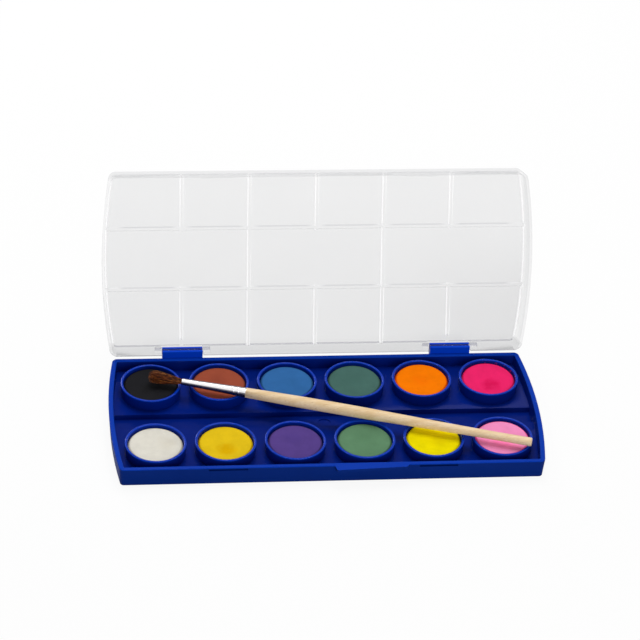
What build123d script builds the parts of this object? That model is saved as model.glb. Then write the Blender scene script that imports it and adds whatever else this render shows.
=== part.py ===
from build123d import *
from math import atan, cos, degrees, hypot, radians, sin, sqrt
import os

# Watercolour paint set: a shallow moulded tray with twelve pressed-in pans of paint tablets, a clear
# hinged lid that doubles as a mixing palette, and a round brush lying across the pans.
# Millimetres. The origin is the middle of the underside, +X runs along the tray, the thumb ledge
# faces -Y, the hinge is at +Y and +Z is up.

# Tray
TRAY_LENGTH = 194.6
TRAY_WIDTH = 79.72
END_BOW = 3.3
CORNER_RADIUS = 2.4
WELL_CORNER_RADIUS = 0.6
RIM_HEIGHT = 9.0
RIM_WIDTH = 2.16
RIM_BEVEL = 0.3
SIDE_DRAFT = 0.6
WELL_DRAFT = 0.35
SKIRT_WALL = 1.5
DECK_HEIGHT = 3.6
DECK_THICKNESS = 1.4

# Brush channel between the two rows of pans
CHANNEL_FLOOR = 1.3
CHANNEL_DRAFT = 8.0
CHANNEL_WALL = 1.4
GATE_MARK_RADIUS = 2.7
GATE_MARK_DEPTH = 0.35

# Thumb ledge on the front edge, deeper at its left end
LEDGE_START = 0.3
LEDGE_LENGTH = 32.8
LEDGE_LEFT_REACH = 3.05
LEDGE_RIGHT_REACH = 1.5
LEDGE_END_SLANT = 0.8
LEDGE_THICKNESS = 1.4

# Snap slots in the front wall and the lid's tongues over them
SLOT_WIDTH = 17.1
SLOT_HEIGHT = 1.15
SLOT_DEPTH = 0.9
SLOT_LIP = 0.4
TONGUE_WIDTH = 14.0
TONGUE_HEIGHT = 1.2
TONGUE_CLEARANCE = 0.06

# Hinge: clips on the tray, rods on the lid
HINGE_BACK = 1.79
HINGE_RISE = 2.57
ROD_RADIUS = 1.0
ROD_CLEARANCE = 0.06
CLIP_WIDTH = 18.5
CLIP_ABOVE_AXIS = 0.85
CLIP_BEHIND_AXIS = 2.05
CLIP_MOUTH = 1.4
CLIP_FOOT = 4.6
CLIP_SLOPE = 3.0
CLIP_ROUND = 0.4
CLIP_SIDE_CLEARANCE = 0.25

# Pans: open cups on the deck, each with a foot ring pressed into a hole. They fill the deck, less
# the strips left at its ends, along its sides, from pan to pan and beside the channel
COLUMNS = 6
END_STRIP = 3.92
SIDE_STRIP = 2.58
PAN_STRIP = 3.56
CHANNEL_STRIP = 2.48
PAN_HEIGHT = 5.6
PAN_WALL = 1.2
PAN_DRAFT = 0.25
PAN_LIP_BEVEL = 0.35
PAN_FLOOR = 1.0
PAN_SHOULDER = 2.17
FOOT_WALL = 1.0
FOOT_DEPTH = 2.4
FOOT_CLEARANCE = 0.1

# Pressed paint tablets
TABLET_THICKNESS = 3.35
TABLET_BEVEL = 0.7
TABLET_CLEARANCE = 0.15
BACK_ROW = ["black", "brown", "blue", "dark_green", "orange", "red"]
FRONT_ROW = ["white", "yellow", "violet", "green", "lemon", "pink"]

# Lid, in its closed place on the tray, and how far it stands open
LID_OPEN = 111.5
LID_GAP = 0.35
LID_WALL = 1.2
LID_PLATE = 1.2
LID_HEIGHT = 12.65
LID_DRAFT = 0.66
LID_OVERLAP = 0.65
LID_BACK_REACH = 3.5
LID_ROUND = 1.2
LID_INNER_BEVEL = 0.6
REST_GAP = 0.05
SWING_GAP = 0.25
NOTCH_RISE = 7.9
BOSS_RADIUS = 1.8
BOSS_WIDTH = 3.2

# Palette ribs under the lid's plate
RIB_HEIGHT = 2.0
RIB_WIDTH = 1.7
RIB_TAPER = 5.0
RIB_ROW = 14.25
RIB_OVERRUN = 1.25

# Brush, measured from its tip; it lies on the pan rims
BRUSH_TIP = (-78.9, 23.2)
BRUSH_ANGLE = 17.5
BRUSH_GAP = 0.1
HAIR_LENGTH = 16.2
FERRULE_LENGTH = 29.6
HANDLE_LENGTH = 130.5
HANDLE_SHOULDER_RADIUS = 2.25
HANDLE_BELLY_RADIUS = 2.6
HANDLE_BELLY = 24.0
HANDLE_WAIST_RADIUS = 2.3
HANDLE_WAIST = 75.0
HANDLE_END_RADIUS = 1.95
HANDLE_END_ROUND = 0.35
TENON_LENGTH = 14.0
FERRULE_MOUTH_RADIUS = 1.45
FERRULE_WALL = 0.25
FERRULE_CLEARANCE = 0.05
CRIMP_PROUD = 0.14
CRIMP_HALF_WIDTH = 0.45
CRIMPS = [3.4, 5.6]

# Hair: strands fan out from the ferrule's mouth to a blunt, splayed tuft
STRANDS = 300
STRAND_SIDES = 3
STRAND_ROOT_RADIUS = 0.05
STRAND_TIP_RADIUS = 0.11
STRAND_SINK = 0.4
HAIR_PLUG = 1.6
HAIR_SPLAY_RADIUS = 2.85
HAIR_DOME = 1.4
HAIR_RAGGED = 1.2
GOLDEN_TURN = 137.508

# Sizes worked out from the ones above
HALF_WIDTH = TRAY_WIDTH / 2
PAN_PITCH = (TRAY_LENGTH - 2 * (RIM_WIDTH + END_STRIP) + PAN_STRIP) / COLUMNS
PAN_RADIUS = (PAN_PITCH - PAN_STRIP) / 2
PAN_INNER_RADIUS = PAN_RADIUS - PAN_WALL
ROW_SPACING = 2 * (HALF_WIDTH - RIM_WIDTH - SIDE_STRIP - PAN_RADIUS)
CHANNEL_WIDTH = ROW_SPACING - 2 * (PAN_RADIUS + CHANNEL_STRIP)
FOOT_RADIUS = PAN_RADIUS - PAN_DRAFT - PAN_SHOULDER
HOLE_RADIUS = FOOT_RADIUS + FOOT_CLEARANCE
SNAP_X = 1.5 * PAN_PITCH
HINGE_X = 2 * PAN_PITCH
END_RADIUS = (HALF_WIDTH**2 + END_BOW**2) / (2 * END_BOW)
HINGE_Y = HALF_WIDTH + HINGE_BACK
HINGE_Z = RIM_HEIGHT + HINGE_RISE
LID_RIM = RIM_HEIGHT - LID_OVERLAP
LID_TOP = LID_RIM + LID_HEIGHT
PLATE_UNDERSIDE = LID_TOP - LID_PLATE
LID_GROW = LID_GAP + LID_WALL
LID_BACK_INNER = LID_BACK_REACH - LID_WALL
BRUSH_AXIS_HEIGHT = DECK_HEIGHT + PAN_HEIGHT + HANDLE_BELLY_RADIUS + BRUSH_GAP

os.makedirs("parts", exist_ok=True)


# Rounded rectangle with bowed ends, grown from the tray's rim line; the back grows by its own amount
def bowed_outline(grow, back_grow, corner):
    radius = END_RADIUS + grow
    centre_x = TRAY_LENGTH / 2 - END_RADIUS
    front = -HALF_WIDTH - grow
    back = HALF_WIDTH + back_grow
    front_x = centre_x + sqrt(radius**2 - front**2)
    back_x = centre_x + sqrt(radius**2 - back**2)
    tip_x = centre_x + radius
    with BuildSketch(Plane.XY) as outline:
        with BuildLine():
            Line((-front_x, front), (front_x, front))
            ThreePointArc((front_x, front), (tip_x, 0), (back_x, back))
            Line((back_x, back), (-back_x, back))
            ThreePointArc((-back_x, back), (-tip_x, 0), (-front_x, front))
        make_face()
        fillet(outline.vertices(), corner)
    return outline.sketch


# Taper that draws a wall in by an inset over a height
def draft_angle(inset, height):
    return degrees(atan(inset / height))


# Hinge clip in side view: a block behind the wall with a bore that opens upwards
def clip_profile():
    root = HALF_WIDTH - RIM_WIDTH / 2
    back = HINGE_Y + CLIP_BEHIND_AXIS
    top = HINGE_Z + CLIP_ABOVE_AXIS
    with BuildSketch(Plane.XY) as profile:
        with BuildLine():
            Polyline(
                (root, CLIP_FOOT),
                (HALF_WIDTH, CLIP_FOOT),
                (back, CLIP_FOOT + CLIP_SLOPE),
                (back, top),
                (HALF_WIDTH, top),
                (HALF_WIDTH, RIM_HEIGHT),
                (root, RIM_HEIGHT),
                close=True,
            )
        make_face()
        fillet(profile.vertices().group_by(Axis.Y)[-1], CLIP_ROUND)
        with Locations((HINGE_Y, HINGE_Z)):
            Circle(ROD_RADIUS + ROD_CLEARANCE, mode=Mode.SUBTRACT)
            Rectangle(CLIP_MOUTH, 4 * CLIP_ABOVE_AXIS, align=(Align.CENTER, Align.MIN), mode=Mode.SUBTRACT)
    return profile.sketch


def row_and_column(index):
    column = index % COLUMNS
    row = index // COLUMNS
    return (column - (COLUMNS - 1) / 2) * PAN_PITCH, (0.5 - row) * ROW_SPACING


# Tray: drafted skirt, sunk deck with a channel, open below
with BuildPart() as tray:
    with BuildSketch(Plane.XY.offset(RIM_HEIGHT)):
        add(bowed_outline(0, 0, CORNER_RADIUS))
    extrude(amount=-RIM_HEIGHT, taper=draft_angle(SIDE_DRAFT, RIM_HEIGHT))
    chamfer(tray.faces().sort_by(Axis.Z)[-1].edges(), RIM_BEVEL)

    well_depth = RIM_HEIGHT - DECK_HEIGHT
    with BuildSketch(Plane.XY.offset(RIM_HEIGHT)):
        add(bowed_outline(-RIM_WIDTH, -RIM_WIDTH, WELL_CORNER_RADIUS))
    extrude(amount=-well_depth, taper=draft_angle(WELL_DRAFT, well_depth), mode=Mode.SUBTRACT)
    with BuildSketch(Plane.XY.offset(RIM_HEIGHT)):
        bevel_inset = RIM_WIDTH - RIM_BEVEL
        add(bowed_outline(-bevel_inset, -bevel_inset, WELL_CORNER_RADIUS + RIM_BEVEL))
    extrude(amount=-RIM_BEVEL, taper=45, mode=Mode.SUBTRACT)

    # Channel from end to end of the deck
    well_inset = RIM_WIDTH + WELL_DRAFT
    with BuildSketch(Plane.XY.offset(DECK_HEIGHT)):
        add(bowed_outline(-well_inset, -well_inset, WELL_CORNER_RADIUS))
        Rectangle(TRAY_LENGTH, CHANNEL_WIDTH, mode=Mode.INTERSECT)
    extrude(amount=CHANNEL_FLOOR - DECK_HEIGHT, taper=CHANNEL_DRAFT, mode=Mode.SUBTRACT)
    with Locations((0, 0, CHANNEL_FLOOR)):
        Hole(GATE_MARK_RADIUS, depth=GATE_MARK_DEPTH)

    # Hollow underside on both sides of the channel
    skirt_inset = SIDE_DRAFT + SKIRT_WALL
    with BuildSketch(Plane.XY):
        add(bowed_outline(-skirt_inset, -skirt_inset, WELL_CORNER_RADIUS))
        Rectangle(TRAY_LENGTH, CHANNEL_WIDTH + 2 * CHANNEL_WALL, mode=Mode.SUBTRACT)
    extrude(amount=DECK_HEIGHT - DECK_THICKNESS, mode=Mode.SUBTRACT)

    # Holes for the feet of the pans
    with Locations((0, 0, DECK_HEIGHT)):
        with GridLocations(PAN_PITCH, ROW_SPACING, COLUMNS, 2):
            Hole(HOLE_RADIUS, depth=DECK_THICKNESS)

    # Thumb ledge, flush with the rim
    ledge_end = LEDGE_START + LEDGE_LENGTH
    with BuildSketch(Plane.XY.offset(RIM_HEIGHT)) as ledge:
        with BuildLine():
            Polyline(
                (LEDGE_START, -HALF_WIDTH + RIM_WIDTH / 2),
                (LEDGE_START, -HALF_WIDTH),
                (LEDGE_START + LEDGE_END_SLANT, -HALF_WIDTH - LEDGE_LEFT_REACH),
                (ledge_end - LEDGE_END_SLANT, -HALF_WIDTH - LEDGE_RIGHT_REACH),
                (ledge_end, -HALF_WIDTH),
                (ledge_end, -HALF_WIDTH + RIM_WIDTH / 2),
                close=True,
            )
        make_face()
        fillet(ledge.vertices().sort_by(Axis.Y)[:2], LEDGE_END_SLANT)
    extrude(amount=-LEDGE_THICKNESS)

    # Snap slots just under the front rim
    slot_middle = RIM_HEIGHT - SLOT_LIP - SLOT_HEIGHT / 2
    with BuildSketch(Plane.XZ.offset(HALF_WIDTH)):
        with Locations((-SNAP_X, slot_middle), (SNAP_X, slot_middle)):
            Rectangle(SLOT_WIDTH, SLOT_HEIGHT)
    extrude(amount=-SLOT_DEPTH, mode=Mode.SUBTRACT)

    # Hinge clips on the back wall
    with BuildSketch(Plane.YZ.offset(HINGE_X)):
        add(clip_profile())
    extrude(amount=CLIP_WIDTH / 2, both=True)
    with BuildSketch(Plane.YZ.offset(-HINGE_X)):
        add(clip_profile())
    extrude(amount=CLIP_WIDTH / 2, both=True)
tray.part.label = "tray"
export_step(tray.part, "parts/tray.step")


# Pans and their tablets, one of each for every colour
for index, colour in enumerate(BACK_ROW + FRONT_ROW):
    x, y = row_and_column(index)
    seat = Plane(origin=(x, y, DECK_HEIGHT), x_dir=(1, 0, 0), z_dir=(0, -1, 0))
    upright = Axis((x, y, 0), (0, 0, 1))

    with BuildPart() as pan:
        with BuildSketch(seat) as profile:
            with BuildLine():
                Polyline(
                    (0, 0),
                    (FOOT_RADIUS - FOOT_WALL, 0),
                    (FOOT_RADIUS - FOOT_WALL, -FOOT_DEPTH),
                    (FOOT_RADIUS, -FOOT_DEPTH),
                    (FOOT_RADIUS, 0),
                    (PAN_RADIUS - PAN_DRAFT, 0),
                    (PAN_RADIUS, PAN_HEIGHT),
                    (PAN_INNER_RADIUS, PAN_HEIGHT),
                    (PAN_INNER_RADIUS - PAN_DRAFT, PAN_FLOOR),
                    (0, PAN_FLOOR),
                    close=True,
                )
            make_face()
            chamfer(profile.vertices().group_by(Axis.X)[-1], PAN_LIP_BEVEL)
        revolve(axis=upright)
    pan.part.label = f"pan_{colour}"
    export_step(pan.part, f"parts/pan_{colour}.step")

    with BuildPart() as tablet:
        radius = PAN_INNER_RADIUS - PAN_DRAFT - TABLET_CLEARANCE
        with BuildSketch(Plane((x, y, DECK_HEIGHT + PAN_FLOOR))):
            Circle(radius)
        extrude(amount=TABLET_THICKNESS)
        chamfer(tablet.faces().sort_by(Axis.Z)[-1].edges(), TABLET_BEVEL)
    tablet.part.label = f"tablet_{colour}"
    export_step(tablet.part, f"parts/tablet_{colour}.step")


# Lid, modelled closed: drafted walls round a flat plate
with BuildPart() as closed_lid:
    with BuildSketch(Plane.XY.offset(LID_RIM)):
        add(bowed_outline(LID_GROW, LID_BACK_REACH, CORNER_RADIUS + LID_GROW))
    extrude(amount=LID_HEIGHT, taper=draft_angle(LID_DRAFT, LID_HEIGHT))
    fillet(closed_lid.faces().sort_by(Axis.Z)[-1].edges(), LID_ROUND)

    with BuildPart(mode=Mode.PRIVATE) as hollow:
        with BuildSketch(Plane.XY.offset(LID_RIM)):
            add(bowed_outline(LID_GAP, LID_BACK_INNER, CORNER_RADIUS + LID_GAP))
        extrude(amount=LID_HEIGHT - LID_PLATE, taper=draft_angle(LID_DRAFT, LID_HEIGHT))
        chamfer(hollow.faces().sort_by(Axis.Z)[-1].edges(), LID_INNER_BEVEL)
    add(hollow.part, mode=Mode.SUBTRACT)

    # Ribs that part the mixing fields: two rows of six and a middle row of three
    with BuildSketch(Plane.XY.offset(PLATE_UNDERSIDE)):
        with Locations((0, RIB_ROW), (0, -RIB_ROW)):
            Rectangle(TRAY_LENGTH, RIB_WIDTH)
        with Locations((PAN_PITCH, 0), (-PAN_PITCH, 0)):
            Rectangle(RIB_WIDTH, TRAY_WIDTH + LID_BACK_REACH)
        with Locations(*[(step * PAN_PITCH, 0) for step in (-2, 0, 2)]):
            Rectangle(RIB_WIDTH, TRAY_WIDTH + LID_BACK_REACH)
            Rectangle(RIB_WIDTH, 2 * (RIB_ROW - RIB_OVERRUN), mode=Mode.SUBTRACT)
        add(bowed_outline(LID_GAP, LID_BACK_INNER, CORNER_RADIUS + LID_GAP), mode=Mode.INTERSECT)
    extrude(amount=-RIB_HEIGHT, taper=RIB_TAPER)

    # The back rim is rounded about the hinge, so that it swings past the tray's edge
    swing_radius = hypot(HINGE_BACK, HINGE_RISE) - SWING_GAP
    with BuildSketch(Plane.YZ):
        with Locations((HINGE_Y, HINGE_Z)):
            Rectangle(4 * LID_BACK_REACH, 4 * LID_BACK_REACH, align=(Align.MIN, Align.MAX))
            Circle(swing_radius, mode=Mode.SUBTRACT)
    extrude(amount=TRAY_LENGTH, both=True, mode=Mode.SUBTRACT)

    # Notches for the clips, with a boss on each side that carries the rod
    notch_width = CLIP_WIDTH + 2 * CLIP_SIDE_CLEARANCE
    for side in (-1, 1):
        with BuildSketch(Plane.YZ.offset(side * HINGE_X)):
            with Locations((HINGE_Y, HINGE_Z)):
                Circle(BOSS_RADIUS)
                Rectangle(
                    HALF_WIDTH + LID_BACK_REACH - LID_WALL / 2 - HINGE_Y,
                    2 * BOSS_RADIUS,
                    align=(Align.MIN, Align.CENTER),
                )
        extrude(amount=notch_width / 2 + BOSS_WIDTH, both=True)
        with BuildSketch(Plane.YZ.offset(side * HINGE_X)):
            with Locations((HINGE_Y - 2 * BOSS_RADIUS, HINGE_Z + NOTCH_RISE)):
                Rectangle(4 * LID_BACK_REACH, LID_HEIGHT, align=(Align.MIN, Align.MAX))
        extrude(amount=notch_width / 2, both=True, mode=Mode.SUBTRACT)
        with BuildSketch(Plane.YZ.offset(side * HINGE_X)):
            with Locations((HINGE_Y, HINGE_Z)):
                Circle(ROD_RADIUS)
        extrude(amount=notch_width / 2 + BOSS_WIDTH / 2, both=True)

    # Recess over the thumb ledge; its edge rests on the ledge
    recess_margin = LEDGE_END_SLANT / 2
    with BuildSketch(Plane.XZ.offset(HALF_WIDTH)):
        with Locations((LEDGE_START - recess_margin, RIM_HEIGHT + REST_GAP)):
            Rectangle(LEDGE_LENGTH + 2 * recess_margin, LID_HEIGHT, align=(Align.MIN, Align.MAX))
    extrude(amount=2 * LID_GROW, mode=Mode.SUBTRACT)

    # Snap tongues inside the front wall
    with BuildSketch(Plane.XZ.offset(HALF_WIDTH + TONGUE_CLEARANCE)):
        with Locations((-SNAP_X, LID_RIM), (SNAP_X, LID_RIM)):
            Rectangle(TONGUE_WIDTH, TONGUE_HEIGHT, align=(Align.CENTER, Align.MIN))
    extrude(amount=LID_GAP + LID_WALL / 2 - TONGUE_CLEARANCE)

hinge_axis = Axis((0, HINGE_Y, HINGE_Z), (1, 0, 0))
with BuildPart() as lid:
    add(closed_lid.part.rotate(hinge_axis, -LID_OPEN))
lid.part.label = "lid"
export_step(lid.part, "parts/lid.step")


# Brush, turned about its own axis; the plane's x runs from the tip to the handle's end
brush_plane = Plane(
    origin=(*BRUSH_TIP, BRUSH_AXIS_HEIGHT),
    x_dir=(cos(radians(BRUSH_ANGLE)), -sin(radians(BRUSH_ANGLE)), 0),
    z_dir=(0, 0, 1),
)
brush_axis = Axis(brush_plane.origin, brush_plane.x_dir)
ferrule_end = HAIR_LENGTH + FERRULE_LENGTH
brush_end = ferrule_end + HANDLE_LENGTH


# Outer radius of the ferrule, a plain cone from the mouth to the handle's shoulder
def ferrule_radius(station):
    share = (station - HAIR_LENGTH) / FERRULE_LENGTH
    return FERRULE_MOUTH_RADIUS + share * (HANDLE_SHOULDER_RADIUS - FERRULE_MOUTH_RADIUS)


with BuildPart() as brush_handle:
    tenon_start = ferrule_end - TENON_LENGTH
    tenon_gap = FERRULE_WALL + FERRULE_CLEARANCE
    with BuildSketch(brush_plane):
        with BuildLine():
            Polyline(
                (brush_end, HANDLE_END_RADIUS - HANDLE_END_ROUND),
                (brush_end, 0),
                (tenon_start, 0),
                (tenon_start, ferrule_radius(tenon_start) - tenon_gap),
                (ferrule_end, HANDLE_SHOULDER_RADIUS - tenon_gap),
                (ferrule_end, HANDLE_SHOULDER_RADIUS),
            )
            swell = ThreePointArc(
                (ferrule_end, HANDLE_SHOULDER_RADIUS),
                (ferrule_end + HANDLE_BELLY, HANDLE_BELLY_RADIUS),
                (ferrule_end + HANDLE_WAIST, HANDLE_WAIST_RADIUS),
            )
            TangentArc(swell @ 1, (brush_end - HANDLE_END_ROUND, HANDLE_END_RADIUS), tangent=swell % 1)
            Line(
                (brush_end - HANDLE_END_ROUND, HANDLE_END_RADIUS),
                (brush_end, HANDLE_END_RADIUS - HANDLE_END_ROUND),
            )
        make_face()
    revolve(axis=brush_axis)
brush_handle.part.label = "brush_handle"
export_step(brush_handle.part, "parts/brush_handle.step")

with BuildPart() as brush_ferrule:
    crimp_points = []
    for back_from_end in reversed(CRIMPS):
        middle = ferrule_end - back_from_end
        crimp_points.append((middle - CRIMP_HALF_WIDTH, ferrule_radius(middle - CRIMP_HALF_WIDTH)))
        crimp_points.append((middle, ferrule_radius(middle) + CRIMP_PROUD))
        crimp_points.append((middle + CRIMP_HALF_WIDTH, ferrule_radius(middle + CRIMP_HALF_WIDTH)))
    with BuildSketch(brush_plane):
        with BuildLine():
            Polyline(
                (HAIR_LENGTH, ferrule_radius(HAIR_LENGTH) - FERRULE_WALL),
                (HAIR_LENGTH, ferrule_radius(HAIR_LENGTH)),
                *crimp_points,
                (ferrule_end, ferrule_radius(ferrule_end)),
                (ferrule_end, ferrule_radius(ferrule_end) - FERRULE_WALL),
                close=True,
            )
        make_face()
    revolve(axis=brush_axis)
brush_ferrule.part.label = "brush_ferrule"
export_step(brush_ferrule.part, "parts/brush_ferrule.step")


# One strand from its root in the plug to its tip, on the brush's axis with the ferrule's mouth at
# the origin; sunflower spacing keeps each on a ray of its own, so none cross
def strand(number, root_reach):
    share = sqrt((number + 0.5) / STRANDS)
    turn = radians(GOLDEN_TURN * number)
    dome_drop = HAIR_DOME * share**2
    ragged_drop = HAIR_RAGGED * abs(sin(7 * turn))
    tip_length = HAIR_LENGTH - dome_drop - ragged_drop
    tip_reach = root_reach + (HAIR_SPLAY_RADIUS - root_reach) * tip_length / HAIR_LENGTH

    def ring(station, reach, thickness):
        points = []
        for side in range(STRAND_SIDES):
            angle = turn + radians(360 * side / STRAND_SIDES)
            y = share * reach * cos(turn) + thickness * cos(angle)
            z = share * reach * sin(turn) + thickness * sin(angle)
            points.append((-station, y, z))
        return points

    root = ring(-STRAND_SINK, root_reach, STRAND_ROOT_RADIUS)
    tip = ring(tip_length, tip_reach, STRAND_TIP_RADIUS)
    faces = [Face(Wire.make_polygon(root)), Face(Wire.make_polygon(tip))]
    for side in range(STRAND_SIDES):
        after = (side + 1) % STRAND_SIDES
        faces.append(Face(Wire.make_polygon([root[side], root[after], tip[after], tip[side]])))
    return Solid(Shell(faces))


with BuildPart() as tuft:
    plug_radius = ferrule_radius(HAIR_LENGTH) - FERRULE_WALL - FERRULE_CLEARANCE
    with BuildSketch(Plane.YZ):
        Circle(plug_radius)
    extrude(amount=HAIR_PLUG)
    add([strand(number, plug_radius - STRAND_ROOT_RADIUS) for number in range(STRANDS)])

with BuildPart() as brush_bristles:
    ferrule_mouth = brush_plane * Location((HAIR_LENGTH, 0, 0))
    add(ferrule_mouth * tuft.part)
brush_bristles.part.label = "brush_bristles"
export_step(brush_bristles.part, "parts/brush_bristles.step")
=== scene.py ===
import math

import bmesh
import bpy
from mathutils import Matrix, Vector, noise


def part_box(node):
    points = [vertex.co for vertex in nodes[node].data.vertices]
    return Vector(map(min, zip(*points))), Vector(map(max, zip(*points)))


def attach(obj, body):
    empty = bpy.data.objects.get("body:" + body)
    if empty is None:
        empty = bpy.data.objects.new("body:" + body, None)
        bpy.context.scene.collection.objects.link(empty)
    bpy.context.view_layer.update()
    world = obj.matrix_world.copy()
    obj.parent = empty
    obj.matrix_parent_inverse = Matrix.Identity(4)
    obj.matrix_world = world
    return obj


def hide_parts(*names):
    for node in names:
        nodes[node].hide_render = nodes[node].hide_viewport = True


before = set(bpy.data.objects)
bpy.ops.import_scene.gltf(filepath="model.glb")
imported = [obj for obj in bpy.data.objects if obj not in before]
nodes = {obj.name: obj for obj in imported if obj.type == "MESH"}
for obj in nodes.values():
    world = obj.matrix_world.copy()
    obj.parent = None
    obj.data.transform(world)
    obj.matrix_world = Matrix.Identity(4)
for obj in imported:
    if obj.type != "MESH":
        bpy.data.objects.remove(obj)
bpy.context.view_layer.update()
mm = 0.001
print("frame loaded")


# Node and object helpers

def hexColor(text):
    # sRGB hex to the linear values that shaders use
    parts = [int(text[i:i + 2], 16) / 255 for i in (0, 2, 4)]
    return (*[c / 12.92 if c <= 0.04045 else ((c + 0.055) / 1.055) ** 2.4 for c in parts], 1.0)


def addNode(tree, kind, inputs=(), **settings):
    # one node with its settings and links; inputs go in order or by name, and each is a value,
    # a hex colour, a socket or a node, whose first output then feeds it
    node = tree.nodes.new(kind)
    for name, value in settings.items():
        setattr(node, name, value)
    for name, value in inputs.items() if isinstance(inputs, dict) else enumerate(inputs):
        if isinstance(value, bpy.types.Node):
            value = value.outputs[0]
        if isinstance(value, bpy.types.NodeSocket):
            tree.links.new(value, node.inputs[name])
        elif node.inputs[name].type == "RGBA":
            node.inputs[name].default_value = hexColor(value)
        else:
            node.inputs[name].default_value = value
    return node


def formula(tree, terms):
    # a nested sum, such as ("ADD", first, ("SINE", second)), worked out by the tree
    operation, *values = terms
    values = [formula(tree, value) if isinstance(value, tuple) else value for value in values]
    return addNode(tree, "ShaderNodeMath", values, operation=operation)


def grain(tree, size, detail):
    # noise over the object's own place, its patches about the given size
    place = addNode(tree, "ShaderNodeTexCoord").outputs["Object"]
    return addNode(tree, "ShaderNodeTexNoise", {"Vector": place, "Scale": 1 / size, "Detail": detail})


def over(tree, under, cover, amount, low, high, share=1.0):
    # one colour laid over another, more of it as the amount goes from low to high
    factor = addNode(tree, "ShaderNodeMapRange", (amount, low, high, 0, share))
    return addNode(tree, "ShaderNodeMix", {0: factor, 6: under, 7: cover}, data_type="RGBA").outputs[2]


def newMaterial(name):
    material = bpy.data.materials.new(name)
    material.use_nodes = True
    material.node_tree.nodes.clear()
    return material, material.node_tree


def finishMaterial(tree, surface):
    shader = addNode(tree, "ShaderNodeBsdfPrincipled", surface)
    addNode(tree, "ShaderNodeOutputMaterial", (shader,))


def addObject(name, data):
    piece = bpy.data.objects.new(name, data)
    bpy.context.scene.collection.objects.link(piece)
    return piece


# Studio: white paper floor, soft lamps, the photograph's viewpoint

studio = {
    "floorSize": 6.0,
    "paperSeen": "f6f6f6",
    "paperBounce": "dadada",
    "paperGlow": 0.915,
    "fillLight": 0.30,
    "lamps": {
        # name: place, size, power; each aims at the set
        "softboxAbove": ((0.05, 0.35, 0.95), 0.6, 5.8),
        "softboxBack": ((-0.35, 0.95, 0.63), 0.35, 3.0),
        "softboxFront": ((0.15, -1.00, 0.30), 0.6, 4.0),
    },
    "yaw": 7.997,
    "elevation": 36.582,
    "roll": 3.905,
    "distance": 1304.07 * mm,
    "target": (4.177 * mm, 66.751 * mm, 9.2 * mm),
    "lens": 156.3,
    "farthest": 20.0,
}


def seenDirectly(tree):
    # 1 for rays that show the background: to the camera, off gloss and through clear plastic
    path = addNode(tree, "ShaderNodeLightPath").outputs
    straight = ("MAXIMUM", path["Is Camera Ray"], path["Is Glossy Ray"])
    return formula(tree, ("MAXIMUM", straight, path["Is Transmission Ray"]))


def studioPaper():
    # Matt white paper roll: all but pure white where it is seen, with the object's soft shadow on it
    material, tree = newMaterial("studioPaper")
    seen = seenDirectly(tree)
    tint = over(tree, studio["paperBounce"], studio["paperSeen"], seen, 0, 1)
    paper = addNode(tree, "ShaderNodeBsdfDiffuse", {"Color": tint})
    white = addNode(tree, "ShaderNodeEmission", {"Color": "ffffff", "Strength": 1.0})
    glow = formula(tree, ("MULTIPLY", seen, studio["paperGlow"]))
    mix = addNode(tree, "ShaderNodeMixShader", (glow, paper, white))
    addNode(tree, "ShaderNodeOutputMaterial", (mix,))
    return material


def buildFloor():
    half = studio["floorSize"] / 2
    corners = [(-half, -half, 0), (half, -half, 0), (half, half, 0), (-half, half, 0)]
    mesh = bpy.data.meshes.new("floor")
    mesh.from_pydata(corners, [], [(0, 1, 2, 3)])
    mesh.materials.append(studioPaper())
    addObject("floor", mesh)


def buildWorld():
    world = bpy.data.worlds.new("studioRoom")
    bpy.context.scene.world = world
    world.use_nodes = True
    tree = world.node_tree
    tree.nodes.clear()
    fill = addNode(tree, "ShaderNodeBackground", {"Color": "ffffff", "Strength": studio["fillLight"]})
    white = addNode(tree, "ShaderNodeBackground", {"Color": "ffffff", "Strength": 1.0})
    mix = addNode(tree, "ShaderNodeMixShader", (seenDirectly(tree), fill, white))
    addNode(tree, "ShaderNodeOutputWorld", (mix,))


def buildLamps():
    for name, (place, size, power) in studio["lamps"].items():
        data = bpy.data.lights.new(name, "AREA")
        data.size = size
        data.energy = power
        lamp = addObject(name, data)
        lamp.location = place
        lamp.rotation_euler = (-Vector(place)).to_track_quat("-Z", "Y").to_euler()


def buildCamera():
    yaw, elevation, roll = (math.radians(studio[key]) for key in ("yaw", "elevation", "roll"))
    level = Vector((math.sin(yaw), math.cos(yaw), 0))
    forward = level * math.cos(elevation) - Vector((0, 0, math.sin(elevation)))
    right = Vector((math.cos(yaw), -math.sin(yaw), 0))
    up = right.cross(forward)
    sideways = math.cos(roll) * right + math.sin(roll) * up
    upwards = math.cos(roll) * up - math.sin(roll) * right
    data = bpy.data.cameras.new("camera")
    data.lens = studio["lens"]
    data.clip_end = studio["farthest"]
    camera = addObject("camera", data)
    turn = Matrix((sideways, upwards, -forward)).transposed().to_4x4()
    place = Vector(studio["target"]) - forward * studio["distance"]
    camera.matrix_world = Matrix.Translation(place) @ turn
    bpy.context.scene.camera = camera


buildFloor()
buildWorld()
buildLamps()
buildCamera()
bpy.context.scene.view_settings.view_transform = "Standard"
print("studio built")


# Shared mesh helpers

meshing = {
    "mergeDistance": 0.0005 * mm,
    "flatAngle": 0.3,
    "onAxis": 0.0001 * mm,
    "turnedSharpAngle": 40,
    "roundSteps": 4,
    "bevelSteps": 2,
}


def shadeSmooth(mesh, sharpAngle):
    mesh.polygons.foreach_set("use_smooth", [True] * len(mesh.polygons))
    mesh.set_sharp_from_angle(angle=math.radians(sharpAngle))


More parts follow.
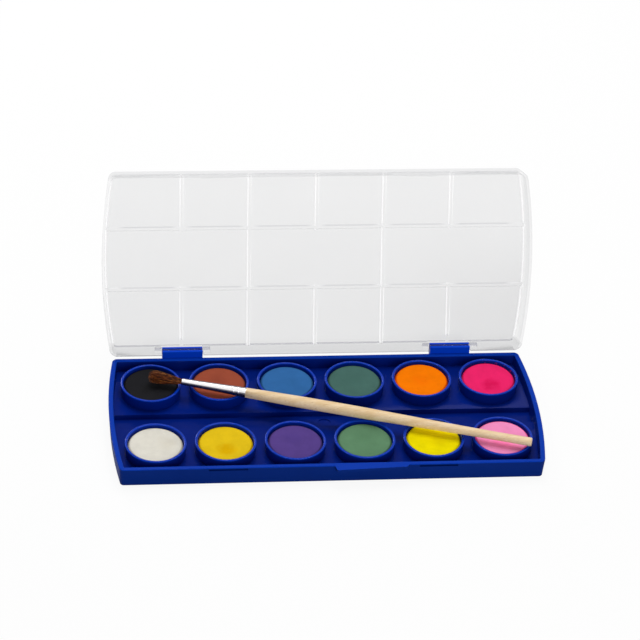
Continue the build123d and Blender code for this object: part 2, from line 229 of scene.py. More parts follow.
def cadCopy(nodeName, sharpAngle):
    # the CAD node's loose triangles merged into one smooth-shaded skin
    mesh = nodes[nodeName].data.copy()
    shape = bmesh.new()
    shape.from_mesh(mesh)
    bmesh.ops.remove_doubles(shape, verts=shape.verts, dist=meshing["mergeDistance"])
    flat = math.radians(meshing["flatAngle"])
    bmesh.ops.dissolve_limit(shape, angle_limit=flat, verts=shape.verts, edges=shape.edges)
    shape.to_mesh(mesh)
    shape.free()
    mesh.materials.clear()
    shadeSmooth(mesh, sharpAngle)
    return addObject(nodeName + "_look", mesh)


def standIn(piece, body, nodeName):
    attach(piece, body)
    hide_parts(nodeName)


def roundedProfile(corners):
    # corners are radius, height and rounding; each rounding becomes a short curve
    points = []
    for index, (radius, height, rounding) in enumerate(corners):
        here = Vector((radius, height))
        if rounding == 0:
            points.append(here)
            continue
        before = Vector(corners[index - 1][:2]) - here
        after = Vector(corners[index + 1][:2]) - here
        start = here + before.normalized() * rounding
        end = here + after.normalized() * rounding
        for step in range(meshing["roundSteps"] + 1):
            share = step / meshing["roundSteps"]
            points.append(start.lerp(here, share).lerp(here.lerp(end, share), share))
    return points


def turnedMesh(name, profile, centre, segments, lift=None):
    # a profile from axis to axis, turned about the vertical; lift raises or sinks a point
    shape = bmesh.new()
    rings = []
    for point in profile:
        count = 1 if point.x < meshing["onAxis"] else segments
        ring = []
        for step in range(count):
            angle = 2 * math.pi * step / count
            place = Vector((point.x * math.cos(angle), point.x * math.sin(angle), point.y))
            if lift:
                place.z += lift(place)
            ring.append(shape.verts.new(place + centre))
        rings.append(ring)
    for inner, outer in zip(rings, rings[1:]):
        for step in range(segments):
            after = (step + 1) % segments
            corners = (inner[step % len(inner)], inner[after % len(inner)],
                       outer[after % len(outer)], outer[step % len(outer)])
            shape.faces.new(dict.fromkeys(corners))
    bmesh.ops.recalc_face_normals(shape, faces=shape.faces)
    mesh = bpy.data.meshes.new(name)
    shape.to_mesh(mesh)
    shape.free()
    shadeSmooth(mesh, meshing["turnedSharpAngle"])
    return mesh


def roundBox(nodeName):
    # a round node's middle, its bottom and top, and its radius
    low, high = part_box(nodeName)
    return (low.x + high.x) / 2, (low.y + high.y) / 2, low.z, high.z, (high.x - low.x) / 2


# Moulded blue polypropylene of the tray and the pans

mouldedBlues = {
    # material: two shades, roughness, grain of its skin and the grain's depth in mm, mirror level
    "polishedPolypropylene": ("021c74", "032280", 0.22, 0.6, 0.002, 0.035),
    "sparkErodedPolypropylene": ("02226e", "03297a", 0.5, 0.25, 0.012, 0.035),
    # the rim and clip blues are lighter copies of the same plastic: painted light
    "rimPolypropyleneInPaintedLight": ("0434a2", "063cb0", 0.3, 0.6, 0.003, 0.035),
    "clipPolypropyleneInPaintedLight": ("0340cc", "0448d8", 0.3, 0.6, 0.003, 0.03),
    "pressedInPanPolypropylene": ("021e7a", "032486", 0.16, 0.6, 0.002, 0.06),
    # the lip blue is a lighter copy of the pan blue: painted highlight
    "panLipPolypropyleneInPaintedLight": ("0030a4", "0038b4", 0.12, 0.6, 0.002, 0.22),
    "paintSmearedPolypropylene": ("021e7a", "032486", 0.3, 0.6, 0.002, 0.06),
}

blueSkin = {
    "cloud": (20 * mm, 3.0),
    "skinDetail": 3.0,
    "roughnessSpread": 0.15,
    "refraction": 1.49,
    "smear": (1.6 * mm, 5.0),
    "smearLimits": (0.60, 0.68, 0.7),
}


def mouldedBlue(name, smear=None, sheen="ffffff"):
    # Moulded polypropylene: saturated pigment, faint flow clouding, a fine skin that breaks the gloss,
    # drawn coarser than a real mould's so that it shows
    first, second, roughness, grainSize, grainDepth, mirror = mouldedBlues[name]
    material, tree = newMaterial(name)
    tint = over(tree, first, second, grain(tree, *blueSkin["cloud"]), 0, 1)
    if smear:
        tint = over(tree, tint, smear, grain(tree, *blueSkin["smear"]), *blueSkin["smearLimits"])
    skin = grain(tree, grainSize * mm, blueSkin["skinDetail"])
    dullest = roughness * (1 + blueSkin["roughnessSpread"])
    glossiest = roughness * (1 - blueSkin["roughnessSpread"])
    finishMaterial(tree, {
        "Base Color": tint,
        "Roughness": addNode(tree, "ShaderNodeMapRange", (skin, 0, 1, glossiest, dullest)),
        "IOR": blueSkin["refraction"],
        "Specular IOR Level": mirror,
        "Specular Tint": sheen,
        "Normal": addNode(tree, "ShaderNodeBump", {
            "Strength": 1.0, "Distance": grainDepth * mm, "Height": skin})})
    return material


# Tray: polished inside, fine spark-eroded outside, and painted light that makes the rim and the clips
# brighter

tray = {
    "materials": {
        # surface: its material
        "inside": "polishedPolypropylene",
        "skirt": "sparkErodedPolypropylene",
        "rim": "rimPolypropyleneInPaintedLight",
        "clip": "clipPolypropyleneInPaintedLight",
    },
    "sharpAngle": 30,
    "edgeRound": 0.18 * mm,
    "roundAngle": 35,
    "length": 194.6 * mm,
    "width": 79.72 * mm,
    "bow": 3.3 * mm,
    "rimWidth": 2.16 * mm,
    "rimHeight": 9.0 * mm,
    "rimBand": 0.4 * mm,
    "facesUp": 0.5,
    "slack": 0.1 * mm,
}


def traySurface(middle, normal):
    # which surface of the tray a face belongs to
    halfWidth = tray["width"] / 2
    bowed = abs(middle.x) + tray["bow"] * (middle.y / halfWidth) ** 2
    past = max(bowed - tray["length"] / 2, abs(middle.y) - halfWidth)
    if middle.z > tray["rimHeight"] + tray["slack"] or middle.y > halfWidth + tray["slack"]:
        return "clip"
    if middle.z > tray["rimHeight"] - tray["rimBand"] and normal.z > tray["facesUp"]:
        return "rim"
    return "skirt" if past > -tray["rimWidth"] / 2 else "inside"


def buildTray():
    piece = cadCopy("tray", tray["sharpAngle"])
    mesh = piece.data
    for material in tray["materials"].values():
        mesh.materials.append(mouldedBlue(material))
    surfaces = list(tray["materials"])
    for face in mesh.polygons:
        face.material_index = surfaces.index(traySurface(face.center, face.normal))
    soften = piece.modifiers.new("mouldedEdges", "BEVEL")
    soften.width = tray["edgeRound"]
    soften.segments = meshing["bevelSteps"]
    soften.limit_method = "ANGLE"
    soften.angle_limit = math.radians(tray["roundAngle"])
    soften.harden_normals = True
    standIn(piece, "base", "tray")


buildTray()
print("tray dressed")


# Pans: cups whose lip is a lighter copy of their blue, a painted highlight

pan = {
    "lipFrom": 8.75 * mm,
    "segments": 96,
    "height": 5.6 * mm,
    "wallThickness": 1.2 * mm,
    "draft": 0.25 * mm,
    "floor": 1.0 * mm,
    "shoulder": 2.17 * mm,
    "footWall": 1.0 * mm,
    "footDepth": 2.4 * mm,
    "lipRound": 0.45 * mm,
    "shoulderRound": 0.12 * mm,
    "floorRound": 0.3 * mm,
    "lipSheen": "8c98ff",
    "smear": "b01a66",
}


def panProfile(outer):
    shoulder = outer - pan["draft"]
    foot = shoulder - pan["shoulder"]
    inner = outer - pan["wallThickness"]
    return roundedProfile([
        (0, 0, 0),
        (foot - pan["footWall"], 0, 0),
        (foot - pan["footWall"], -pan["footDepth"], 0),
        (foot, -pan["footDepth"], 0),
        (foot, 0, 0),
        (shoulder, 0, pan["shoulderRound"]),
        (outer, pan["height"], pan["lipRound"]),
        (inner, pan["height"], pan["lipRound"]),
        (inner - pan["draft"], pan["floor"], pan["floorRound"]),
        (0, pan["floor"], 0),
    ])


def buildPan(colour, outside, lip, inside):
    x, y, _, top, radius = roundBox("pan_" + colour)
    centre = Vector((x, y, top - pan["height"]))
    mesh = turnedMesh("pan_" + colour, panProfile(radius), centre, pan["segments"])
    # three material slots, 0 to 2: outside, lip and inside
    for material in (outside, lip, inside):
        mesh.materials.append(material)
    for face in mesh.polygons:
        inwards = centre - face.center
        facesIn = face.normal.x * inwards.x + face.normal.y * inwards.y > 0
        face.material_index = 1 if face.center.z > pan["lipFrom"] else 2 if facesIn else 0
    standIn(addObject("pan_cup_" + colour, mesh), "base", "pan_" + colour)


# Tablets of pressed paint, each worn a little by the brush

tablet = {
    "paints": {
        # colour: top, bevel ring and worn place in hex, wear depth in mm, its place from the middle in mm
        "black": ("202023", "19191b", "1c1c1e", 0.15, (-1.0, -2.0)),
        "brown": ("a14f39", "86402e", "9a4b37", 0.10, (0.0, 3.0)),
        "blue": ("346ba8", "275686", "3268a3", 0.10, (1.0, 0.0)),
        "dark_green": ("486c64", "3a5850", "466a62", 0.10, (0.0, 0.0)),
        "orange": ("ff7e00", "f45c02", "fd7800", 0.12, (0.0, 0.0)),
        "red": ("f2266b", "e01e5a", "e01658", 0.45, (0.7, -4.2)),
        "white": ("e2ded2", "cfc9ba", "dcd7c9", 0.12, (5.0, 1.0)),
        "yellow": ("e8c31a", "d4ac10", "ddae02", 0.55, (0.2, -4.0)),
        "violet": ("584289", "44346e", "543f86", 0.12, (-1.0, 3.0)),
        "green": ("608967", "4a6e54", "5d8664", 0.12, (0.0, 2.0)),
        "lemon": ("f4e200", "dcc800", "eeda00", 0.12, (2.0, -1.0)),
        "pink": ("ff97cb", "f8589f", "fe88c0", 0.12, (0.0, -2.0)),
    },
    "thickness": 3.35 * mm,
    "bevel": 0.7 * mm,
    "edgeRound": 0.08 * mm,
    "rings": 26,
    "segments": 112,
    "dish": 0.04 * mm,
    "topShare": 0.99,
    "ripple": 0.03 * mm,
    "rippleGrain": 420,
    "rippleShift": 77,
    "wearReach": 4.4 * mm,
    "wearRagged": 0.35,
    "wearGrain": 260,
    "wearShift": 40,
    "ringInside": 0.25 * mm,
    "ringFade": 0.3 * mm,
    "cloud": (5 * mm, 6.0),
    "cloudLimits": (0.3, 0.7, 0.93, 1.05),
    "fleck": (0.6 * mm, 2.0),
    "fleckLimits": (0.68, 0.76, 0, 0.22),
    "ragged": (2.5 * mm, 4.0),
    "wornLimits": (0.12, 0.42),
    "grit": (0.45 * mm, 4.0),
    "gritDepth": 0.035 * mm,
    "gritStrength": 0.6,
}


def pressedPaint(colour):
    # Pressed watercolour: matt and chalky, darker on the bevel ring and deeper in tone where a wet brush
    # has worn it;
    # its grit is drawn coarser than real pigment so that it shows
    top, ring, worn = tablet["paints"][colour][:3]
    material, tree = newMaterial("pressedPaint_" + colour)
    cloud = grain(tree, *tablet["cloud"])
    fleck = grain(tree, *tablet["fleck"])
    brightness = formula(tree, (
        "ADD",
        addNode(tree, "ShaderNodeMapRange", (cloud, *tablet["cloudLimits"])),
        addNode(tree, "ShaderNodeMapRange", (fleck, *tablet["fleckLimits"]))))
    bevel = addNode(tree, "ShaderNodeAttribute", attribute_name="bevelRing").outputs["Fac"]
    wear = addNode(tree, "ShaderNodeAttribute", attribute_name="wornPlace").outputs["Fac"]
    ragged = formula(tree, ("MULTIPLY", wear, grain(tree, *tablet["ragged"])))
    tint = over(tree, top, ring, bevel, 0, 1)
    tint = over(tree, tint, worn, ragged, *tablet["wornLimits"])
    tint = addNode(tree, "ShaderNodeVectorMath", {0: tint, "Scale": brightness}, operation="SCALE")
    finishMaterial(tree, {
        "Base Color": tint,
        "Roughness": 0.85,
        "Specular IOR Level": 0.03,
        "Normal": addNode(tree, "ShaderNodeBump", {
            "Strength": tablet["gritStrength"], "Distance": tablet["gritDepth"],
            "Height": grain(tree, *tablet["grit"])})})
    return material


def buildTablet(colour):
    x, y, bottom, _, radius = roundBox("tablet_" + colour)
    centre = Vector((x, y, bottom))
    flat = radius - tablet["bevel"]
    height = tablet["thickness"]
    edge = tablet["edgeRound"]
    depth, middle = tablet["paints"][colour][3:]
    dent = Vector(middle) * mm

    def wornAmount(place):
        gap = Vector((place.x, place.y)) - dent
        ragged = noise.noise(place * tablet["wearGrain"] + centre * tablet["wearShift"])
        reach = tablet["wearReach"] * (1 + tablet["wearRagged"] * ragged)
        return math.exp(-(gap.length / reach) ** 2)

    def lift(place):
        if place.z < height * tablet["topShare"]:
            return 0.0
        inside = max(0.0, 1 - (math.hypot(place.x, place.y) / flat) ** 4)
        uneven = noise.noise(place * tablet["rippleGrain"] + centre * tablet["rippleShift"])
        ripple = tablet["ripple"] * (uneven - 1)
        return inside * (ripple - depth * mm * wornAmount(place) - tablet["dish"])

    innermost = flat - edge
    profile = [Vector(point) for point in (
        (0, 0),
        (radius, 0),
        (radius, height - tablet["bevel"] - edge),
        (radius - edge / 2, height - tablet["bevel"]),
        (flat + edge, height - edge / 2),
        (innermost, height),
    )]
    for step in range(1, tablet["rings"] + 1):
        profile.append(Vector((innermost * (1 - step / tablet["rings"]), height)))
    mesh = turnedMesh("paint_" + colour, profile, centre, tablet["segments"], lift)
    ring = mesh.attributes.new("bevelRing", "FLOAT", "POINT")
    worn = mesh.attributes.new("wornPlace", "FLOAT", "POINT")
    for index, vertex in enumerate(mesh.vertices):
        place = vertex.co - centre
        outwards = (math.hypot(place.x, place.y) - flat + tablet["ringInside"]) / tablet["ringFade"]
        ring.data[index].value = min(1.0, max(0.0, outwards))
        worn.data[index].value = wornAmount(place)
    mesh.materials.append(pressedPaint(colour))
    standIn(addObject("paint_tablet_" + colour, mesh), "base", "tablet_" + colour)


wallBlue = mouldedBlue("pressedInPanPolypropylene")
# lip faces get a lighter blue: painted highlight
paintedLightLipBlue = mouldedBlue("panLipPolypropyleneInPaintedLight", sheen=pan["lipSheen"])
smearedBlue = mouldedBlue("paintSmearedPolypropylene", smear=pan["smear"])
for colour in tablet["paints"]:
    buildPan(colour, wallBlue, paintedLightLipBlue, smearedBlue if colour == "red" else wallBlue)
    buildTablet(colour)
print("pans and paints set")


# Lid: clear polystyrene, a thin sheet that dims what is behind it a little

lid = {
    "sheets": {
        # surface: colour, share of light kept back, more of it edge on, painted glow,
        # and whether it fades at the long ribs
        "plate": ("85878c", 0.10, 0.45, 0.0, False),
        "wall": ("9a9ca2", 0.07, 0.45, 0.0, False),
        "rimEdge": ("b4b6bc", 0.035, 0.05, 0.0, False),
        # painted light: the lighter side face of a rib, paired with the dark shadedRib
        "litRibSide": ("c4c6cc", 0.03, 0.08, 0.0, False),
        # painted shade: a darker back wall, for the shadowed floor behind it
        "shadedBackWall": ("7c7e84", 0.17, 0.45, 0.0, False),
        # painted highlight: a white sheet that glows
        "litEdge": ("ffffff", 0.28, 0.45, 0.57, False),
        "shadedRib": ("34365c", 0.22, 0.30, 0.0, True),
        # painted shade: dark sheets along the inner back and front corners
        "shadedBackCorner": ("2c2e5e", 0.42, 0.30, 0.0, False),
        "shadedFrontCorner": ("585a70", 0.06, 0.30, 0.0, True),
        # painted shade: a darker, bluish sheet for the blue seen through the thick hinge bosses
        "shadedHingeBoss": ("6668a0", 0.20, 0.30, 0.0, False),
    },
    "flatShaded": ("plate", "rimEdge", "litRibSide", "shadedRib"),
    "open": 111.5,
    "sharpAngle": 25,
    "hinge": (41.65 * mm, 11.57 * mm),
    "ribTop": 17.8 * mm,
    "ribRound": 0.3 * mm,
    "rim": 8.35 * mm,
    "slack": 0.1 * mm,
    "edgeSlack": 0.02 * mm,
    "leaning": 0.5,
    "squareOn": 0.9,
    "bossReach": 1.7 * mm,
    "bossFace": 12 * mm ** 2,
    "pitch": 31 * mm,
    "ribEnd": 3 * mm,
    "inside": 39 * mm,
    "ribFade": (1.5 * mm, 5.0 * mm, 0.25, 1.0),
    "haze": (30 * mm, 3.0),
    "hazeSpread": 0.08,
    "grazingPower": 6.0,
    "scuff": (3 * mm, 6.0),
    "scuffShade": "6e7078",
    "scuffLimits": (0.3, 0.7, 0.12),
    "scuffRoughness": (0, 1, 0.05, 0.16),
    # painted shade: the plate is darker low down, most of all low down on the right
    "lowPaintedShade": (25 * mm, 75 * mm, 1.32, 1.0),
    "rightSide": (20 * mm, 90 * mm),
    "lowSide": (60 * mm, 20 * mm),
    "cornerPaintedShade": (0, 1, 1.0, 1.35),
}


def clearSheet(surface):
    # Clear polystyrene as a thin wall: it keeps back a little light, and more where it is seen edge on
    shade, veil, edgeOn, glow, fades = lid["sheets"][surface]
    material, tree = newMaterial("clearPolystyrene_" + surface)
    place = addNode(tree, "ShaderNodeTexCoord").outputs["Object"]
    axes = addNode(tree, "ShaderNodeSeparateXYZ", (place,)).outputs
    clearest = veil * (1 - lid["hazeSpread"])
    haziest = veil * (1 + lid["hazeSpread"])
    kept = addNode(tree, "ShaderNodeMapRange", (grain(tree, *lid["haze"]), 0, 1, clearest, haziest))
    # painted shade: the plate is darker low down, most of all at the lower right
    if surface == "plate":
        right = addNode(tree, "ShaderNodeMapRange", (axes["X"], *lid["rightSide"]))
        low = addNode(tree, "ShaderNodeMapRange", (axes["Z"], *lid["lowSide"]))
        corner = formula(tree, ("MULTIPLY", right, low))
        kept = formula(tree, (
            "MULTIPLY",
            ("MULTIPLY", kept, addNode(tree, "ShaderNodeMapRange", (axes["Z"], *lid["lowPaintedShade"]))),
            addNode(tree, "ShaderNodeMapRange", (corner, *lid["cornerPaintedShade"]))))
    if fades:
        fromRib = formula(tree, ("PINGPONG", axes["X"], lid["pitch"] / 2))
        fade = addNode(tree, "ShaderNodeMapRange", (fromRib, *lid["ribFade"]))
        kept = formula(tree, ("MULTIPLY", kept, fade))
    facing = addNode(tree, "ShaderNodeLayerWeight", {"Blend": 0.5}).outputs["Facing"]
    grazing = ("MULTIPLY", ("POWER", facing, lid["grazingPower"]), edgeOn)
    scuff = grain(tree, *lid["scuff"])
    finishMaterial(tree, {
        "Base Color": over(tree, shade, lid["scuffShade"], scuff, *lid["scuffLimits"]),
        "Roughness": addNode(tree, "ShaderNodeMapRange", (scuff, *lid["scuffRoughness"])),
        "IOR": 1.59,
        "Specular IOR Level": 0.2,
        "Alpha": formula(tree, ("ADD", kept, grazing)),
        "Emission Color": "ffffff",
        "Emission Strength": glow})
    return material


def lidSurface(normal, middle, area):
    # which sheet a face belongs to, from its place on the shut lid
    withinWalls = abs(middle.y) < lid["inside"]
    across = abs(normal.x) > lid["leaning"] and withinWalls
    leansDown = normal.z < -lid["leaning"]
    level = abs(normal.z) > lid["squareOn"]
    fromHinge = max(abs(middle.y - lid["hinge"][0]), abs(middle.z - lid["hinge"][1]))
    if fromHinge < lid["bossReach"] and area < lid["bossFace"]:
        return "shadedHingeBoss"
    if middle.z < lid["rim"] + lid["slack"]:
        return "rimEdge"
    if level and middle.z > lid["ribTop"] + 2 * lid["slack"]:
        return "plate"
    if leansDown and abs(normal.y) > lid["leaning"] and abs(middle.y) > lid["inside"]:
        return "shadedBackCorner" if middle.y > 0 else "shadedFrontCorner"
    if middle.z > lid["ribTop"] - lid["slack"] and abs(middle.x) < 3 * lid["pitch"] - lid["ribEnd"]:
        if across:
            return "litEdge"
        if abs(normal.y) > lid["squareOn"] and withinWalls:
            return "shadedRib" if normal.y < 0 else "litRibSide"
    if leansDown and across:
        return "litEdge"
    if level:
        return "plate"
    return "shadedBackWall" if middle.y > lid["inside"] else "wall"


def buildLid():
    piece = cadCopy("lid", lid["sharpAngle"])
    mesh = piece.data
    surfaces = list(lid["sheets"])
    for surface in surfaces:
        mesh.materials.append(clearSheet(surface))
    close = Matrix.Rotation(math.radians(lid["open"]), 3, "X")
    axis = Vector((0, *lid["hinge"]))
    for face in mesh.polygons:
        surface = lidSurface(close @ face.normal, close @ (face.center - axis) + axis, face.area)
        face.material_index = surfaces.index(surface)
        face.use_smooth = surface not in lid["flatShaded"]
    # the long top edges of the upright ribs are rounded, and the rounds get the litEdge sheet, a painted
    # highlight
    weight = mesh.attributes.new("bevel_weight_edge", "FLOAT", "EDGE")
    for edge in mesh.edges:
        ends = [close @ (mesh.vertices[index].co - axis) + axis for index in edge.vertices]
        run = (ends[1] - ends[0]).normalized()
        onTop = all(abs(end.z - lid["ribTop"]) < lid["edgeSlack"] for end in ends)
        weight.data[edge.index].value = 1.0 if onTop and abs(run.y) > lid["squareOn"] else 0.0
    rounds = piece.modifiers.new("ribRounds", "BEVEL")
    rounds.width = lid["ribRound"]
    rounds.segments = meshing["bevelSteps"]
    rounds.limit_method = "WEIGHT"
    rounds.material = surfaces.index("litEdge")
    standIn(piece, "lid", "lid")


buildLid()
print("lid dressed")


# Brush

brush = {
    "tip": (-78.9 * mm, 23.2 * mm, 11.9 * mm),
    "turn": math.radians(17.5),
    "hairLength": 16.2 * mm,
}
brushAxis = Vector((math.cos(brush["turn"]), -math.sin(brush["turn"]), 0))

handle = {
    # each grain: how far it is drawn out, its size and detail
    "fine": (0.03, 0.35 * mm, 5.0),
    "broad": (0.12, 2.2 * mm, 3.0),
    "fleck": (0.10, 0.5 * mm, 2.0),
    "grainDepth": 0.03 * mm,
    "grainStrength": 0.4,
    "sharpAngle": 30,
}

ferrule = {
    "lines": (0.03, 0.18 * mm, 3.0),
    "lineDepth": 0.02 * mm,
    "lineStrength": 0.3,
    "sharpAngle": 20,
}


def drawnGrain(tree, stretch, size, detail):
    # noise drawn out along the brush, whose tip and turn give its own coordinates
    place = addNode(tree, "ShaderNodeTexCoord").outputs["Object"]
    fromTip = addNode(tree, "ShaderNodeVectorMath", (place, brush["tip"]), operation="SUBTRACT")
    along = addNode(tree, "ShaderNodeMapping", {
        "Vector": fromTip, "Rotation": (0, 0, brush["turn"]), "Scale": (stretch, 1, 1)})
    return addNode(tree, "ShaderNodeTexNoise", {"Vector": along, "Scale": 1 / size, "Detail": detail})


def limeWood():
    # Turned limewood, sanded and thinly varnished: pale, with fine long grain and a few brown flecks
    material, tree = newMaterial("varnishedLimewood")
    fine, broad, fleck = (drawnGrain(tree, *handle[name]) for name in ("fine", "broad", "fleck"))
    tint = over(tree, "edcca0", "f8e1bc", fine, 0.3, 0.7)
    tint = over(tree, tint, "deb980", broad, 0.42, 0.62, 0.5)
    tint = over(tree, tint, "b0824c", fleck, 0.66, 0.74, 0.55)
    finishMaterial(tree, {
        "Base Color": tint,
        "Roughness": 0.5,
        "IOR": 1.5,
        "Specular IOR Level": 0.25,
        "Normal": addNode(tree, "ShaderNodeBump", {
            "Strength": handle["grainStrength"], "Distance": handle["grainDepth"], "Height": fine})})
    return material


def drawnTube():
    # Drawn aluminium tube: faint draw lines, and a painted reflection that makes it bright on top, dark
    # below and greyer behind
    material, tree = newMaterial("drawnAluminiumTube")
    lines = drawnGrain(tree, *ferrule["lines"])
    normal = addNode(tree, "ShaderNodeTexCoord").outputs["Normal"]
    upwards = addNode(tree, "ShaderNodeSeparateXYZ", (normal,)).outputs["Z"]
    towardsViewer = (brushAxis.y, -brushAxis.x, 0)
    forwards = addNode(tree, "ShaderNodeVectorMath", (normal, towardsViewer), operation="DOT_PRODUCT")
    # painted reflection: dark below, bright on top, then greyer where the tube faces away from the viewer
    tint = over(tree, "686773", "f6f4f4", upwards, 0.44, 0.64)
    tint = over(tree, tint, "878487", forwards.outputs["Value"], 0.7, -0.1, 0.85)
    tint = over(tree, tint, "8e8c90", lines, 0.55, 0.7, 0.35)
    finishMaterial(tree, {
        "Base Color": tint,
        "Metallic": 1.0,
        "Roughness": addNode(tree, "ShaderNodeMapRange", (lines, 0, 1, 0.18, 0.36)),
        "Normal": addNode(tree, "ShaderNodeBump", {
            "Strength": ferrule["lineStrength"], "Distance": ferrule["lineDepth"], "Height": lines})})
    return material


def dressedCopy(nodeName, sharpAngle, material):
    piece = cadCopy(nodeName, sharpAngle)
    piece.data.materials.append(material)
    standIn(piece, "brush", nodeName)


dressedCopy("brush_handle", handle["sharpAngle"], limeWood())
dressedCopy("brush_ferrule", ferrule["sharpAngle"], drawnTube())


# Hair tuft: each strand is a tapered curve that leaves the ferrule, swells outwards and ends blunt

hair = {
    "inputs": {
        "Strands": 520,
        "Root Radius": 1.08 * mm,
        "Splay Radius": 3.35 * mm,
        "Length": 16.1 * mm,
        "Strand Radius": 0.08 * mm,
        "Seed": 7,
    },
    "draws": {
        # ranges that a strand's own numbers are drawn from, in this order
        "turnSpread": (-0.25, 0.25),
        "reach": (0.83, 1.0),
        "splay": (0.82, 1.06),
        "strandTone": (0.25, 1.0),
        "swayTurn": (0.0, 6.283),
    },
    "turnStep": math.radians(137.508),
    "pointsPerStrand": 7,
    "sway": 0.22 * mm,
    "swellPower": 0.85,
    # how much is lost and by what power of the way along or out
    "closing": (0.16, 7.0),
    "dome": (0.09, 2.0),
    "taper": (0.55, 4.0),
    "lock": (0.03, 0.32 * mm, 2.0),
    "lockLimits": (0.36, 0.64),
}


def ponyHair():
    # Dyed pony hair: red-brown locks of uneven tone, with painted shade near black between the locks and a
    # painted ginger highlight on the lightest strands
    material, tree = newMaterial("ponyHair")
    lock = addNode(tree, "ShaderNodeMapRange", (drawnGrain(tree, *hair["lock"]), *hair["lockLimits"]))
    tone = addNode(tree, "ShaderNodeAttribute", attribute_name="strandTone").outputs["Fac"]
    mixed = formula(tree, ("MULTIPLY", tone, lock))
    tint = over(tree, "140804", "6c3013", mixed, 0.05, 0.35)
    tint = over(tree, tint, "cc803c", mixed, 0.40, 0.85)
    finishMaterial(tree, {"Base Color": tint, "Roughness": 0.4, "Specular IOR Level": 0.12})
    return material


def strandPoints(tree, given):
    # sunflower spacing over the ferrule's mouth, each point with its strand's own numbers
    numbers = {}
    for draw, (name, (low, high)) in enumerate(hair["draws"].items(), 1):
        seed = formula(tree, ("ADD", given["Seed"], draw))
        numbers[name] = addNode(tree, "FunctionNodeRandomValue", {2: low, 3: high, "Seed": seed}).outputs[1]
    index = addNode(tree, "GeometryNodeInputIndex")
    stepped = ("MULTIPLY", index, hair["turnStep"])
    numbers["turn"] = formula(tree, ("ADD", stepped, numbers.pop("turnSpread")))
    spread = ("DIVIDE", ("ADD", index, 0.5), given["Strands"])
    numbers["share"] = formula(tree, ("SQRT", spread))
    points = addNode(tree, "GeometryNodePoints", {"Count": given["Strands"]})
    for name, value in numbers.items():
        points = addNode(tree, "GeometryNodeStoreNamedAttribute", {
            "Geometry": points, "Name": name, "Value": value}, data_type="FLOAT", domain="POINT")
    return points


def lessened(way, name):
    # 1 at the start of the way, less by a set amount at its end
    amount, power = hair[name]
    return ("SUBTRACT", 1.0, ("MULTIPLY", ("POWER", way, power), amount))


def strandPlace(tree, given):
    # where a point of a strand goes; along is 0 at the root and 1 at the tip
    position = addNode(tree, "GeometryNodeInputPosition")
    along = addNode(tree, "ShaderNodeSeparateXYZ", (position,)).outputs["Z"]
    share, turn, reach, splay, swayTurn = (
        addNode(tree, "GeometryNodeInputNamedAttribute", {"Name": name}, data_type="FLOAT")
        for name in ("share", "turn", "reach", "splay", "swayTurn"))
    widest = ("MULTIPLY", ("SUBTRACT", given["Splay Radius"], given["Root Radius"]), splay)
    swell = ("MULTIPLY", widest, ("POWER", along, hair["swellPower"]))
    swollen = ("MULTIPLY", ("ADD", given["Root Radius"], swell), lessened(along, "closing"))
    radius = formula(tree, ("MULTIPLY", swollen, share))
    sway = formula(tree, ("MULTIPLY", ("MULTIPLY", along, along), hair["sway"]))
    domed = ("MULTIPLY", ("MULTIPLY", along, given["Length"]), lessened(share, "dome"))
    ahead = formula(tree, ("MULTIPLY", domed, reach))
    across, up = (
        formula(tree, ("ADD", ("MULTIPLY", radius, (wave, turn)), ("MULTIPLY", sway, (wave, swayTurn))))
        for wave in ("COSINE", "SINE"))
    return addNode(tree, "ShaderNodeCombineXYZ", (across, up, ahead))


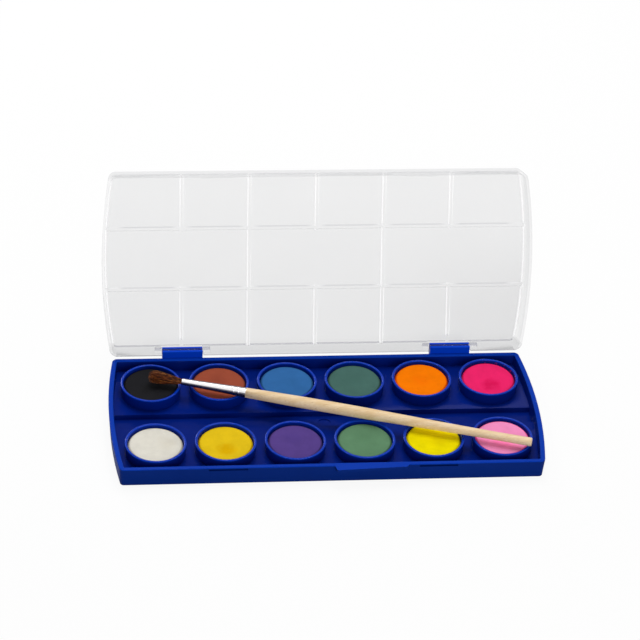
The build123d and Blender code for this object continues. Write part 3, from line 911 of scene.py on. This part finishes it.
def hairTree():
    tree = bpy.data.node_groups.new("hairTuft", "GeometryNodeTree")
    sockets = {"Strands": "Int", "Root Radius": "Float", "Splay Radius": "Float", "Length": "Float",
               "Strand Radius": "Float", "Seed": "Int", "Material": "Material"}
    for name, kind in sockets.items():
        tree.interface.new_socket(name, in_out="INPUT", socket_type="NodeSocket" + kind)
    tree.interface.new_socket("Geometry", in_out="OUTPUT", socket_type="NodeSocketGeometry")
    given = addNode(tree, "NodeGroupInput").outputs
    line = addNode(tree, "GeometryNodeCurvePrimitiveLine", {"Start": (0, 0, 0), "End": (0, 0, 1)})
    line = addNode(tree, "GeometryNodeResampleCurve", {"Curve": line, "Count": hair["pointsPerStrand"]})
    strands = addNode(tree, "GeometryNodeInstanceOnPoints", {
        "Points": strandPoints(tree, given), "Instance": line})
    strands = addNode(tree, "GeometryNodeRealizeInstances", {"Geometry": strands})
    strands = addNode(tree, "GeometryNodeSetPosition", {
        "Geometry": strands, "Position": strandPlace(tree, given)})
    passed = addNode(tree, "GeometryNodeSplineParameter").outputs["Factor"]
    ring = addNode(tree, "GeometryNodeCurvePrimitiveCircle", {"Resolution": 4, "Radius": 1.0})
    tubes = addNode(tree, "GeometryNodeCurveToMesh", {
        "Curve": strands,
        "Profile Curve": ring,
        "Scale": formula(tree, ("MULTIPLY", lessened(passed, "taper"), given["Strand Radius"])),
        "Fill Caps": True})
    whole = addNode(tree, "GeometryNodeRealizeInstances", {"Geometry": tubes})
    painted = addNode(tree, "GeometryNodeSetMaterial", {"Geometry": whole, "Material": given["Material"]})
    addNode(tree, "NodeGroupOutput", {"Geometry": painted})
    return tree


def buildHair():
    host = addObject("hairHost", bpy.data.meshes.new("hairHost"))
    grow = host.modifiers.new("tuft", "NODES")
    grow.node_group = hairTree()
    values = dict(hair["inputs"], Material=ponyHair())
    for item in grow.node_group.interface.items_tree:
        if item.in_out == "INPUT":
            grow[item.identifier] = values[item.name]
    bpy.context.view_layer.update()
    grown = host.evaluated_get(bpy.context.evaluated_depsgraph_get())
    mesh = bpy.data.meshes.new_from_object(grown)
    bpy.data.objects.remove(host)
    outwards = -brushAxis
    side = Vector((0, 0, 1)).cross(outwards)
    turn = Matrix((side, outwards.cross(side), outwards)).transposed().to_4x4()
    mouth = Vector(brush["tip"]) + brushAxis * brush["hairLength"]
    mesh.transform(Matrix.Translation(mouth) @ turn)
    print("hair tuft", len(mesh.polygons), "faces")
    standIn(addObject("brush_hair_tuft", mesh), "brush", "brush_bristles")


buildHair()
print("brush dressed")
